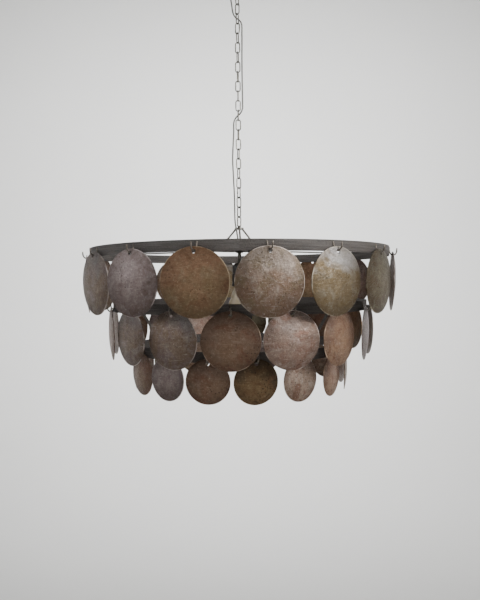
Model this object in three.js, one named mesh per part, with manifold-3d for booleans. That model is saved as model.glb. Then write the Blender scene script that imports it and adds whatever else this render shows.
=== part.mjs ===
// Pendant lamp of raw iron: three flat rings, each hung with sixteen dished discs on wire hooks.
// Millimetres, +Z up. The origin is on the ceiling, at the middle of the bracket's top face.
// Azimuth runs from -Y, the viewing side, towards +X.
import * as THREE from 'three';
import { mergeVertices } from 'three/addons/utils/BufferGeometryUtils.js';
import Module from 'manifold-3d';

const wasm = await Module();
wasm.setup();

// Clearances
const touchGap = 0.3; // between separate pieces that rest on each other
const fusedSink = 0.3; // how deep two links that are one solid bite into each other
const weldDepth = 1; // how deep a welded end goes into what it is welded to

// Ceiling fitting
const bracket = {
  length: 84, width: 20, thick: 3, bossRadius: 9, bossDepth: 16, screwRadius: 2.5, screwReach: 32,
};
const canopy = { radius: 55, height: 58, wall: 1.6, corner: 9, outletRadius: 4.2, outletReach: 21 };
const hook = {
  wire: 5, bend: 10, openFrom: 52, drop: 28, neck: 8,
  shankRadius: 4, shankUp: 12, collarRadius: 11, collarThick: 5,
};

// Chain
const link = { wire: 3, innerLength: 25.8, width: 15, stations: 8, sides: 6 };
const linkCount = 24;
const linkTurn = 93.6; // each link is turned by this against the one above
const lastLinkAngle = 45; // where the last link's wide side points, from +X
const cable = { diameter: 4, sides: 8, steps: 58 };

// Frame that carries the rings
const eye = { wire: 3, radius: 4.2 };
const crown = { radius: 12, thick: 5 };
const rod = { diameter: 5, inset: 2.5, reach: 66 };
const hub = { radius: 74, thick: 3, belowApex: 61.5 };
const arm = { width: 16, overHub: 6 };
const strut = { width: 12, thick: 3 };
const armCount = 3;
const firstArmAzimuth = 3.5;

// Rings, hooks and discs
const band = { height: 25, thick: 3, sides: 32 };
const bandBelowApex = 60; // from the last link's low wire to the upper band's top edge
const discsPerRing = 16;
const wireHook = {
  wire: 3.5, sides: 5, bend: 9.8, sideShare: 0.7, sideRise: 0.333, turn: 35,
  seatOut: 10, seatDown: 23, rootDown: 9, tipDown: 10,
};
const disc = { sheet: 2, holeEdge: 6.5, hole: 8.4, holeSides: 5, holeFlare: 1, innerCircle: 0.6 };
const upperTier = { radius: 392, drop: 0, discDiameter: 150, dish: 8, firstAzimuth: -13.5, facets: 16 };
const middleTier = { radius: 334, drop: 136.5, discDiameter: 131, dish: 7, firstAzimuth: -3.4, facets: 14 };
const lowerTier = { radius: 271, drop: 247.5, discDiameter: 104, dish: 5.5, firstAzimuth: -15.3, facets: 12 };

// How far each disc hangs turned on its hook, in whole degrees, the nearer ones as photographed
const upperTurns = [2, 3, 6, 2, 4, -3, 5, 1, -3, 3, 6, -2, 2, 5, 5, 1];
const middleTurns = [0, -3, 8, 8, 3, -4, 6, -2, 5, 1, -4, 4, 7, -3, -4, -5];
const lowerTurns = [5, 8, 9, 8, 5, -3, 4, -4, 2, 7, -2, 3, -4, 4, 6, 0];
const tiers = [
  { name: 'upper', turns: upperTurns, ...upperTier },
  { name: 'middle', turns: middleTurns, ...middleTier },
  { name: 'lower', turns: lowerTurns, ...lowerTier },
];

// Lampholder and bulb
const stem = { radius: 5, bore: 3.4, above: 10, boreDepth: 34 };
const nut = { radius: 9.8, thick: 5 };
const holder = {
  radius: 19.5, shoulder: 10, below: 31, length: 64, bore: 15.2, boreDepth: 30,
  skirt: 21.5, skirtHeight: 9, chamfer: 1.5, collar: 3,
};
const bulb = {
  baseRadius: 13, baseHeight: 25, contact: 8, contactHeight: 4, neck: 14.2, radius: 30, length: 105,
};

const fullTurn = 360;
const DEG = (2 * Math.PI) / fullTurn;
const polar = (azimuth, radius, z) =>
  new THREE.Vector3(radius * Math.sin(azimuth * DEG), -radius * Math.cos(azimuth * DEG), z);

const tangent = (azimuth) => new THREE.Vector3(Math.cos(azimuth * DEG), Math.sin(azimuth * DEG), 0);

// A geometry as a solid: shared points merged, slivers of no area left out, faces pointing out.
function solid(geometry) {
  const bare = geometry.index ? geometry.toNonIndexed() : geometry.clone();
  bare.deleteAttribute('normal');
  bare.deleteAttribute('uv');
  const merged = mergeVertices(bare, 1e-4);
  const at = merged.attributes.position.array;
  const source = merged.index.array;
  const corners = [];
  let volume = 0;
  for (let i = 0; i < source.length; i += 3) {
    const [a, b, c] = [source[i], source[i + 1], source[i + 2]];
    if (a === b || b === c || c === a) continue;
    corners.push(a, b, c);
    const [p, q, r] = [a, b, c].map((k) => new THREE.Vector3().fromArray(at, 3 * k));
    volume += p.dot(q.cross(r));
  }
  if (volume < 0) corners.reverse();
  const mesh = new wasm.Mesh({
    numProp: 3,
    vertProperties: Float32Array.from(at),
    triVerts: Uint32Array.from(corners),
  });
  return new wasm.Manifold(mesh);
}

function geometryOf(manifold) {
  const mesh = manifold.getMesh();
  const geometry = new THREE.BufferGeometry();
  geometry.setAttribute('position', new THREE.BufferAttribute(mesh.vertProperties, 3));
  geometry.setIndex(new THREE.BufferAttribute(mesh.triVerts, 1));
  return geometry;
}

const join = (parts) => parts.map(solid).reduce((whole, next) => whole.add(next));
const cutBy = (body, tools) => tools.map(solid).reduce((rest, tool) => rest.subtract(tool), body);

// A turned shape about Z from [radius, z] pairs; the outline closes on itself or ends on the axis.
function turned(outline, sides) {
  const points = outline.map(([radius, z]) => new THREE.Vector2(radius, z));
  return new THREE.LatheGeometry(points, sides).rotateX(Math.PI / 2);
}

const rodShape = (radius, low, high, sides) =>
  turned([[0, low], [radius, low], [radius, high], [0, high]], sides);

// A many-sided hole keeps its whole radius clear, so its corners stand outside it.
const boreShape = (radius, low, high, sides) =>
  rodShape(radius / Math.cos(Math.PI / sides), low, high, sides);

// A line through its points as they are, so that a tube along it has one ring at each.
class Polyline extends THREE.Curve {
  constructor(points) {
    super();
    this.points = points;
  }
  getUtoTmapping(u) {
    return u;
  }
  getPoint(t, target = new THREE.Vector3()) {
    const along = t * (this.points.length - 1);
    const i = Math.min(Math.floor(along), this.points.length - 2);
    return target.lerpVectors(this.points[i], this.points[i + 1], along - i);
  }
  getTangent(t, target = new THREE.Vector3()) {
    const i = Math.round(t * (this.points.length - 1));
    const before = this.points[Math.max(i - 1, 0)];
    const after = this.points[Math.min(i + 1, this.points.length - 1)];
    return target.subVectors(after, before).normalize();
  }
}

function section(radius, sides) {
  const points = [];
  for (let i = 0; i < sides; i += 1) {
    const turn = ((i + 0.5) / sides) * 2 * Math.PI;
    points.push(new THREE.Vector2(radius * Math.cos(turn), radius * Math.sin(turn)));
  }
  return new THREE.Shape(points);
}

function tube(points, diameter, sides) {
  const options = { extrudePath: new Polyline(points), steps: points.length - 1, bevelEnabled: false };
  return new THREE.ExtrudeGeometry(section(diameter / 2, sides), options);
}

// A flat outline in the radial plane of an azimuth, given width across that plane.
function radialPlate(outline, width, azimuth) {
  const shape = new THREE.Shape(outline.map(([radius, z]) => new THREE.Vector2(radius, z)));
  const plate = new THREE.ExtrudeGeometry(shape, { depth: width, bevelEnabled: false });
  plate.translate(0, 0, -width / 2);
  plate.rotateX(Math.PI / 2);
  plate.rotateZ((azimuth - 90) * DEG);
  return plate;
}

const group = new THREE.Group();

function add(name, manifold, color, roughness, metalness) {
  const material = new THREE.MeshStandardMaterial({ color, roughness, metalness });
  const mesh = new THREE.Mesh(geometryOf(manifold), material);
  mesh.name = name;
  group.add(mesh);
}

// Heights down the middle
const hookLow = -canopy.height - hook.drop;
const firstLinkZ = hookLow + hook.wire / 2 + touchGap - link.innerLength / 2;
const secondLinkZ = firstLinkZ - link.innerLength + touchGap;
const linkZ = (i) => (i === 0 ? firstLinkZ : secondLinkZ - (i - 1) * (link.innerLength + fusedSink));
const linkAngle = (i) => lastLinkAngle - (linkCount - 1 - i) * linkTurn;
const apex = linkZ(linkCount - 1) - link.innerLength / 2 - link.wire / 2;
const hubTop = apex - hub.belowApex;
const ringTop = apex - bandBelowApex;

// One chain link: a ring of wire drawn out along Z, its wide side along X until it is turned.
function chainLink(i) {
  const bend = (link.width - link.wire) / 2;
  const halfStep = Math.PI / link.stations;
  const radius = bend / Math.cos(halfStep);
  const ring = new THREE.TorusGeometry(radius, link.wire / 2, link.sides, link.stations);
  ring.rotateZ(halfStep);
  const lowWire = link.innerLength / 2 + link.wire / 2;
  const stretch = lowWire - bend;
  const at = ring.attributes.position;
  for (let k = 0; k < at.count; k += 1) {
    at.setY(k, at.getY(k) + Math.sign(at.getY(k)) * stretch);
  }
  ring.rotateX(Math.PI / 2);
  ring.rotateZ(linkAngle(i) * DEG);
  return ring.translate(0, 0, linkZ(i));
}

function ceilingBracket() {
  const { length, width, thick, bossRadius, bossDepth, screwRadius, screwReach } = bracket;
  const bar = new THREE.BoxGeometry(length, width, thick).translate(0, 0, -thick / 2);
  const boss = rodShape(bossRadius, -bossDepth, -thick / 2, 12);
  const socket = boreShape(hook.shankRadius + touchGap, -bossDepth - 1, -bossDepth + hook.shankUp, 12);
  const screws = [-1, 1].map((side) =>
    boreShape(screwRadius, -thick - 1, 1, 8).translate(side * screwReach, 0, 0));
  return cutBy(join([bar, boss]), [socket, ...screws]);
}

function ceilingCanopy() {
  const { radius, height, wall, corner, outletRadius, outletReach } = canopy;
  const top = -touchGap;
  const outline = [[radius, top], [radius, corner - height]];
  const steps = 2;
  for (let i = 1; i <= steps; i += 1) {
    const turn = (i / steps) * 90 * DEG;
    outline.push([radius - corner + corner * Math.cos(turn), corner - height - corner * Math.sin(turn)]);
  }
  outline.push([0, -height]);
  outline.push([0, wall - height], [radius - corner, wall - height]);
  outline.push([radius - wall, corner - height], [radius - wall, top], [radius, top]);
  const cup = solid(turned(outline, 24));
  const shankHole = boreShape(hook.shankRadius + touchGap, -height - 1, wall - height + 1, 12);
  const outlet = boreShape(outletRadius, -height - 1, wall - height + 1, 12).translate(-outletReach, 0, 0);
  return cutBy(cup, [shankHole, outlet]);
}

// The hook: a threaded shank that holds the canopy up with its collar, and a bend open on one side.
function ceilingHook() {
  const { wire, bend, openFrom, neck, shankRadius, shankUp, collarRadius, collarThick } = hook;
  const shankTop = shankUp - bracket.bossDepth - touchGap;
  const collarTop = -canopy.height - touchGap;
  const collarLow = collarTop - collarThick;
  const shank = rodShape(shankRadius, collarLow + weldDepth, shankTop, 10);
  const collar = rodShape(collarRadius, collarLow, collarTop, 12);
  const route = [new THREE.Vector3(0, 0, collarLow + weldDepth)];
  const centre = hookLow + bend;
  const stations = 10;
  const start = 90 - neck;
  for (let i = 0; i <= stations; i += 1) {
    const turn = (start + (i / stations) * (fullTurn - openFrom - start)) * DEG;
    route.push(new THREE.Vector3(bend * Math.cos(turn), 0, centre + bend * Math.sin(turn)));
  }
  const bow = tube(route, wire, 8);
  bow.rotateZ((linkAngle(0) + 90) * DEG);
  return join([shank, collar, bow]);
}

// The wire hook: out of the band, down, round under its disc's hole and up to an open tip.
// Its plane is turned a little from the radial one, so the tip stands to one side.
function wireHookRoute(azimuth, face, top) {
  const { wire, bend, sideShare, sideRise, seatOut, seatDown, rootDown, tipDown, turn } = wireHook;
  const along = Math.cos(turn * DEG);
  const root = -(seatOut + band.thick / 2) / along;
  const rootUp = seatDown - rootDown;
  const tipUp = seatDown - tipDown;
  const [sideOut, sideUp] = [bend * sideShare, bend * sideRise];
  const route = [
    [root, rootUp], [-bend, rootUp - wire / 2], [-sideOut, sideUp], [0, 0], [sideOut, sideUp], [bend, tipUp],
  ];
  return route.map(([out, up]) => {
    const radius = face + seatOut + out * along;
    const point = polar(azimuth, radius, top - seatDown + up);
    return point.addScaledVector(tangent(azimuth), out * Math.sin(turn * DEG));
  });
}

function ring(tier) {
  const top = ringTop - tier.drop;
  const low = top - band.height;
  const face = tier.radius / Math.cos(Math.PI / band.sides);
  const back = face - band.thick;
  const hoop = turned([[back, low], [face, low], [face, top], [back, top], [back, low]], band.sides);
  hoop.rotateZ((tier.firstAzimuth + 180 / band.sides) * DEG);
  const hooks = [];
  for (let i = 0; i < discsPerRing; i += 1) {
    const azimuth = discAzimuth(tier, i);
    hooks.push(tube(wireHookRoute(azimuth, tier.radius, top), wireHook.wire, wireHook.sides));
  }
  return join([hoop, ...hooks]);
}

const discAzimuth = (tier, i) => tier.firstAzimuth + (i * fullTurn) / discsPerRing;

// A round plate bulging towards +Z: a centre point, an inner circle and a rim of twice its points.
function dishedPlate(radius, inner, facets, bulge, half) {
  const points = [];
  const circle = (count, reach, z) => {
    const from = points.length;
    for (let i = 0; i < count; i += 1) {
      const turn = (i / count) * 2 * Math.PI;
      points.push([reach * Math.cos(turn), reach * Math.sin(turn), z]);
    }
    return from;
  };
  const corners = [];
  const rims = [half, -half].map((side) => {
    const centre = circle(1, 0, bulge(0) + side);
    const ringFrom = circle(facets / 2, inner, bulge(inner) + side);
    const rimFrom = circle(facets, radius, side);
    const face = [];
    for (let i = 0; i < facets / 2; i += 1) {
      const next = (i + 1) % (facets / 2);
      const [near, far] = [ringFrom + i, ringFrom + next];
      const rim = [2 * i, 2 * i + 1, 2 * next].map((k) => rimFrom + k);
      face.push([centre, near, far], [near, rim[0], rim[1]], [near, rim[1], far], [far, rim[1], rim[2]]);
    }
    corners.push(...face.map(([a, b, c]) => (side > 0 ? [a, b, c] : [a, c, b])));
    return rimFrom;
  });
  for (let i = 0; i < facets; i += 1) {
    const next = (i + 1) % facets;
    const [a, b, c, d] = [rims[0] + i, rims[0] + next, rims[1] + i, rims[1] + next];
    corners.push([a, c, d], [a, d, b]);
  }
  const geometry = new THREE.BufferGeometry();
  geometry.setAttribute('position', new THREE.Float32BufferAttribute(points.flat(), 3));
  geometry.setIndex(corners.flat());
  return geometry;
}

// A dished disc, hung by the upper edge of its hole so that its weight is straight below the hook.
function dishedDisc(tier, i) {
  const { sheet, holeEdge, hole, holeSides, holeFlare, innerCircle } = disc;
  const radius = tier.discDiameter / 2;
  const bulge = (at) => tier.dish * (1 - (at / radius) ** 2);
  const half = sheet / 2;
  const plate = dishedPlate(radius, radius * innerCircle, tier.facets, bulge, half);
  const seat = radius - holeEdge;
  const bore = hole / 2;
  const reach = half + holeFlare;
  const corner = 1 / Math.cos(Math.PI / holeSides);
  const wide = (bore + reach) * corner;
  const waist = bore * corner;
  const punch = turned([[0, -reach], [wide, -reach], [waist, 0], [wide, reach], [0, reach]], holeSides);
  punch.rotateZ((180 / holeSides) * DEG);
  punch.translate(0, seat - bore, bulge(seat));
  const body = cutBy(solid(plate), [punch]);
  const shape = geometryOf(body);
  shape.translate(0, -seat, -bulge(seat));
  const lean = Math.atan2(tier.dish / 2 - bulge(seat), seat);
  shape.rotateX(Math.PI / 2 + lean);
  const azimuth = discAzimuth(tier, i);
  shape.rotateZ((azimuth + tier.turns[i % tier.turns.length]) * DEG);
  const hang = polar(azimuth, tier.radius + wireHook.seatOut, 0);
  const seatZ = ringTop - tier.drop - wireHook.seatDown + wireHook.wire / 2 + touchGap;
  return solid(shape.translate(hang.x, hang.y, seatZ));
}

// The frame: an eye on a crown at the chain's end, three rods to a hub, arms and stepped struts.
function lampFrame() {
  const parts = [];
  const eyeTop = apex + link.wire / 2 + touchGap + eye.wire / 2;
  const eyeZ = eyeTop - eye.radius;
  const loop = new THREE.TorusGeometry(eye.radius, eye.wire / 2, 6, 12);
  loop.rotateX(Math.PI / 2);
  loop.rotateZ((lastLinkAngle + 90) * DEG);
  parts.push(loop.translate(0, 0, eyeZ));
  const crownTop = apex - link.wire / 2 - touchGap;
  parts.push(rodShape(crown.radius, crownTop - crown.thick, crownTop, 12));
  parts.push(rodShape(hub.radius, hubTop - hub.thick, hubTop, 24));
  const rodTop = crownTop - crown.thick / 2;
  for (let i = 0; i < armCount; i += 1) {
    const azimuth = firstArmAzimuth + (i * fullTurn) / armCount;
    const from = polar(azimuth, crown.radius - rod.inset, rodTop);
    const to = polar(azimuth, rod.reach, hubTop - weldDepth);
    parts.push(tube([from, to], rod.diameter, 8));
    parts.push(radialPlate(strutOutline(), strut.width, azimuth));
    const near = hub.radius - arm.overHub;
    const far = tiers[0].radius - band.thick - touchGap - strut.thick / 2;
    const flat = [[near, hubTop], [far, hubTop], [far, hubTop - hub.thick], [near, hubTop - hub.thick]];
    parts.push(radialPlate(flat, arm.width, azimuth));
  }
  const passage = boreShape(stem.radius + touchGap, hubTop - hub.thick - 1, hubTop + 1, 12);
  return cutBy(join(parts), [passage]);
}

// One bent bar down the backs of the three bands: its outer side, then its inner side back up.
function strutOutline() {
  const outer = [];
  for (const tier of tiers) {
    const back = tier.radius - band.thick - touchGap;
    const top = ringTop - tier.drop;
    outer.push([back, tier === tiers[0] ? hubTop : top], [back, top - band.height]);
  }
  const inner = outer.map(([radius, z]) => [radius - strut.thick, z]).reverse();
  return [...outer, ...inner];
}

function lampholder() {
  const hubLow = hubTop - hub.thick;
  const holderTop = hubLow - holder.below;
  const holderLow = holderTop - holder.length;
  const stemTop = hubTop + stem.above;
  const { radius, shoulder, bore, boreDepth, skirt, skirtHeight, chamfer, collar } = holder;
  const body = turned([
    [0, holderTop], [stem.radius + collar, holderTop], [radius - collar, holderTop - shoulder / 2],
    [radius, holderTop - shoulder], [radius, holderLow + skirtHeight],
    [skirt, holderLow + skirtHeight - chamfer], [skirt, holderLow],
    [bore, holderLow], [bore, holderLow + boreDepth], [0, holderLow + boreDepth],
  ], 16);
  const pipe = rodShape(stem.radius, holderTop - weldDepth, stemTop, 12);
  const upperNut = rodShape(nut.radius, hubTop + touchGap, hubTop + touchGap + nut.thick, 6);
  const lowerNut = rodShape(nut.radius, hubLow - touchGap - nut.thick, hubLow - touchGap, 6);
  const wireWay = boreShape(stem.bore, stemTop - stem.boreDepth, stemTop + 1, 10);
  return cutBy(join([body, pipe, upperNut, lowerNut]), [wireWay]);
}

// A pear-shaped bulb, its screw base up inside the holder.
function lightBulb() {
  const { baseRadius, baseHeight, contact, contactHeight, neck, radius, length } = bulb;
  const holderLow = hubTop - hub.thick - holder.below - holder.length;
  const baseTop = holderLow + baseHeight;
  const low = baseTop - length;
  const globe = low + radius;
  const outline = [
    [0, baseTop], [contact, baseTop], [baseRadius, baseTop - contactHeight],
    [baseRadius, holderLow], [neck, holderLow - touchGap],
  ];
  outline.push([(neck + radius) * 0.48, globe + radius * 0.95]);
  const steps = 5;
  for (let i = 0; i < steps; i += 1) {
    const turn = (36 - (i / steps) * 126) * DEG;
    outline.push([radius * Math.cos(turn), globe + radius * Math.sin(turn)]);
  }
  outline.push([0, low]);
  return turned(outline, 14);
}

// The cable, woven once through a link high up and once half way, then down into the stem.
const cableRoute = [
  [-21, 0, -36], [-21, 0, -60], [-19, 1.5, -82], [-15, 5, -108], [-11, 6.5, -131], [-5, 3, -142.5],
  [5, -3, -152.9], [11, -6.5, -164.5], [12, -4, -196], [11.5, -1, -250], [11.5, 0, -310], [12, 1, -368],
  [11.5, 1, -391],
  [5.5, 0.5, -403.2], [-5.5, -0.5, -414.2], [-11.5, -1, -426.5], [-12.5, -1, -455], [-15, -1, -500],
  [-16, -1, -530], [-14, -2, -580], [-12, -3, -630], [-11.5, -4, -680], [-10.5, -10, -700], [-8, -15, -715],
  [-5.5, -12.5, -732], [-2.5, -5.5, -749], [0, 0, -764], [0, 0, -786],
];

function powerCable() {
  const points = cableRoute.map((p) => new THREE.Vector3(...p));
  const curve = new THREE.CatmullRomCurve3(points, false, 'centripetal');
  return tube(curve.getSpacedPoints(cable.steps), cable.diameter, cable.sides);
}

add('ceiling_bracket', ceilingBracket(), '#6d6a66', 0.5, 0.9);
add('canopy', ceilingCanopy(), '#5c564f', 0.55, 0.85);
add('ceiling_hook', ceilingHook(), '#8d8a84', 0.4, 0.9);
add('top_link', solid(chainLink(0)), '#aaa89f', 0.4, 0.9);
const chainLinks = [];
for (let i = 1; i < linkCount; i += 1) chainLinks.push(chainLink(i));
add('chain', join(chainLinks), '#aaa89f', 0.4, 0.9);
add('power_cable', solid(powerCable()), '#8f8f8f', 0.6, 0);
add('lamp_frame', lampFrame(), '#77726b', 0.55, 0.85);
add('lampholder', lampholder(), '#2b2826', 0.5, 0);
add('bulb', solid(lightBulb()), '#efe7d8', 0.3, 0);
for (const tier of tiers) {
  add(`${tier.name}_ring`, ring(tier), '#8b8682', 0.55, 0.85);
  for (let i = 0; i < discsPerRing; i += 1) {
    const number = String(i + 1).padStart(2, '0');
    add(`${tier.name}_disc_${number}`, dishedDisc(tier, i), '#9a8c7c', 0.6, 0.7);
  }
}

export default group;
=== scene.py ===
import math
import random

import bpy
from mathutils import Matrix, Vector, noise
from mathutils.geometry import delaunay_2d_cdt


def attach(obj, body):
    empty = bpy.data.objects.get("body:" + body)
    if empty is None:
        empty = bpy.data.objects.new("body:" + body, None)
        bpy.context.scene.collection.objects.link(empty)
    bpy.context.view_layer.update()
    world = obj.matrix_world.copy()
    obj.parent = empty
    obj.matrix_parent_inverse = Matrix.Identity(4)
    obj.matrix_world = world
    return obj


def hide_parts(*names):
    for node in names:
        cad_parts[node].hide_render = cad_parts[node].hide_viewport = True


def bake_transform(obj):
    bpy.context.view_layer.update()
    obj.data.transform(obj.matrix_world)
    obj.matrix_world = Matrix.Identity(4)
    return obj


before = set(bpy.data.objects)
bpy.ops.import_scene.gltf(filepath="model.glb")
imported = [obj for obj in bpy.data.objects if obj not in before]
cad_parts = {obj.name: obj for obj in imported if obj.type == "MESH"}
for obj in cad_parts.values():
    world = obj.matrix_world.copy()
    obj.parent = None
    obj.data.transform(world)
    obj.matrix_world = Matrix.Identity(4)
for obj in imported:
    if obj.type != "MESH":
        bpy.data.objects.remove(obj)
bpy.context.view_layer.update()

MM = 0.001
UP = Vector((0, 0, 1))
TEXTURE = 10  # texture units to a metre


def polar(azimuth, radius, z):
    a = math.radians(azimuth)
    return Vector((radius * math.sin(a), -radius * math.cos(a), z))


# Camera: the photograph's station, level with the middle of the lamp. Its roll lies between the
# one that the photograph's bands ask for and none, which its plumb chain asks for.
camera_roll = 0.009
camera_data = bpy.data.cameras.new("camera")
camera_data.lens = 36.24
camera_data.sensor_width = 36
camera_data.shift_x = 0.0005
camera_data.shift_y = -0.0272
camera = bpy.data.objects.new("camera", camera_data)
camera.location = (0, -1.6308, -0.8629)
camera.rotation_euler = (math.radians(90), camera_roll, 0)
bpy.context.scene.collection.objects.link(camera)
bpy.context.scene.camera = camera


# Mesh building

def new_object(name, verts, faces, material, sharp, uvs=None):
    """A smooth object, sharp where faces meet at more than that angle."""
    mesh = bpy.data.meshes.new(name)
    mesh.from_pydata([tuple(v) for v in verts], [], faces)
    if uvs:
        for layer_name, values in uvs.items():
            layer = mesh.uv_layers.new(name=layer_name)
            for loop in mesh.loops:
                layer.data[loop.index].uv = values[loop.vertex_index]
    mesh.polygons.foreach_set("use_smooth", [True] * len(mesh.polygons))
    mesh.set_sharp_from_angle(angle=math.radians(sharp))
    mesh.materials.append(material)
    obj = bpy.data.objects.new(name, mesh)
    bpy.context.scene.collection.objects.link(obj)
    return obj


class Shape:
    """Points and faces of several closed forms that make one object."""

    def __init__(self):
        self.verts = []
        self.faces = []

    def put(self, verts, faces, place=None):
        base = len(self.verts)
        self.verts += [place @ Vector(v) if place else Vector(v) for v in verts]
        self.faces += [[base + i for i in face] for face in faces]

    def make(self, name, material, sharp=40):
        return new_object(name, self.verts, self.faces, material, sharp)


def sweep(points, radius, sides, closed=False):
    """A round wire along points; radius is one number or one for each point."""
    count = len(points)
    radii = radius if isinstance(radius, list) else [radius] * count
    tangents = []
    for i in range(count):
        before = points[(i - 1) % count] if closed else points[max(i - 1, 0)]
        after = points[(i + 1) % count] if closed else points[min(i + 1, count - 1)]
        tangents.append((after - before).normalized())
    side = tangents[0].orthogonal().normalized()
    verts = []
    for i, t in enumerate(tangents):
        side = (side - t * side.dot(t)).normalized()
        other = t.cross(side)
        for k in range(sides):
            a = 2 * math.pi * k / sides
            verts.append(points[i] + (side * math.cos(a) + other * math.sin(a)) * radii[i])
    faces = []
    for i in range(count if closed else count - 1):
        j = (i + 1) % count
        shift = 0
        if closed and j == 0:
            shift = min(range(sides), key=lambda k: (verts[i * sides + k] - verts[0]).length)
        for k in range(sides):
            a = i * sides + (k + shift) % sides
            b = i * sides + (k + shift + 1) % sides
            faces.append([a, b, j * sides + (k + 1) % sides, j * sides + k])
    if not closed:
        faces.append(list(range(sides))[::-1])
        faces.append([(count - 1) * sides + k for k in range(sides)])
    return verts, faces


def lathe(outline, segments, closed=False):
    """A turned form about Z from (radius, z) pairs, from one axis point to the other or closed."""
    verts, faces, rows = [], [], []
    for radius, z in outline:
        if radius < 1e-7:
            rows.append([len(verts)])
            verts.append(Vector((0, 0, z)))
            continue
        rows.append(list(range(len(verts), len(verts) + segments)))
        for k in range(segments):
            a = 2 * math.pi * k / segments
            verts.append(Vector((radius * math.cos(a), radius * math.sin(a), z)))
    pairs = list(zip(rows, rows[1:]))
    if closed:
        pairs.append((rows[-1], rows[0]))
    for low, high in pairs:
        for k in range(segments):
            n = (k + 1) % segments
            if len(low) == 1 and len(high) == 1:
                continue
            if len(low) == 1:
                faces.append([low[0], high[n], high[k]])
            elif len(high) == 1:
                faces.append([low[k], low[n], high[0]])
            else:
                faces.append([low[k], low[n], high[n], high[k]])
    return verts, faces


def rounded(outline, radius, steps, closed=False):
    """The outline with its corners rounded off, each over at most 0.45 of the sides that it joins."""
    points = [Vector(p) for p in outline]
    count = len(points)
    out = []
    for i, p in enumerate(points):
        if not closed and i in (0, count - 1):
            out.append(tuple(p))
            continue
        a, b = points[i - 1], points[(i + 1) % count]
        reach = min(radius, (a - p).length * 0.45, (b - p).length * 0.45)
        start, end = p + (a - p).normalized() * reach, p + (b - p).normalized() * reach
        for s in range(steps + 1):
            t = s / steps
            out.append(tuple(start * (1 - t) ** 2 + p * 2 * t * (1 - t) + end * t * t))
    return out


def prism(outline, low, high, bevel):
    """A flat outline in X and Y, with a bevel round both faces."""
    def inset(points, amount):
        sharpest = 0.3
        moved = []
        for i, p in enumerate(points):
            a, b = points[i - 1], points[(i + 1) % len(points)]
            n1 = Vector((-(p - a).y, (p - a).x)).normalized()
            n2 = Vector((-(b - p).y, (b - p).x)).normalized()
            n = (n1 + n2).normalized()
            moved.append(p + n * amount / max(n.dot(n1), sharpest))
        return moved
    points = [Vector(p) for p in outline]
    inner = inset(points, bevel)
    layers = [(inner, low), (points, low + bevel), (points, high - bevel), (inner, high)]
    verts, faces = [], []
    for ring, z in layers:
        verts += [Vector((p.x, p.y, z)) for p in ring]
    n = len(points)
    for layer in range(3):
        for i in range(n):
            j = (i + 1) % n
            faces.append([layer * n + i, layer * n + j, (layer + 1) * n + j, (layer + 1) * n + i])
    faces.append(list(range(n))[::-1])
    faces.append([3 * n + i for i in range(n)])
    return verts, faces


def smooth_route(points, per_span=8):
    """A centripetal curve through the points."""
    pts = [Vector(p) for p in points]
    ends = [pts[0] * 2 - pts[1]] + pts + [pts[-1] * 2 - pts[-2]]
    out = []
    for i in range(1, len(ends) - 2):
        p0, p1, p2, p3 = ends[i - 1:i + 3]
        t0 = 0.0
        t1 = t0 + (p1 - p0).length ** 0.5
        t2 = t1 + (p2 - p1).length ** 0.5
        t3 = t2 + (p3 - p2).length ** 0.5
        for s in range(per_span):
            t = t1 + (t2 - t1) * s / per_span
            a1 = p0 * ((t1 - t) / (t1 - t0)) + p1 * ((t - t0) / (t1 - t0))
            a2 = p1 * ((t2 - t) / (t2 - t1)) + p2 * ((t - t1) / (t2 - t1))
            a3 = p2 * ((t3 - t) / (t3 - t2)) + p3 * ((t - t2) / (t3 - t2))
            b1 = a1 * ((t2 - t) / (t2 - t0)) + a2 * ((t - t0) / (t2 - t0))
            b2 = a2 * ((t3 - t) / (t3 - t1)) + a3 * ((t - t1) / (t3 - t1))
            out.append(b1 * ((t2 - t) / (t2 - t1)) + b2 * ((t - t1) / (t2 - t1)))
    out.append(pts[-1])
    return out


def weld_bead(shape, centre, size, seed):
    """A small lump of weld metal: an uneven ball with these half sizes along X, Y and Z."""
    rows, columns, unevenness = 7, 12, 0.22
    steps = [math.pi * r / rows for r in range(rows + 1)]
    ball, faces = lathe([(math.sin(a), -math.cos(a)) for a in steps], columns)
    verts = []
    for d in ball:
        lump = 1 + unevenness * noise.noise(d * 2.1 + Vector((seed, seed * 0.7, 0)))
        verts.append(Vector(centre) + Vector((d.x * size[0], d.y * size[1], d.z * size[2])) * lump)
    shape.put(verts, faces)


# Materials

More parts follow.
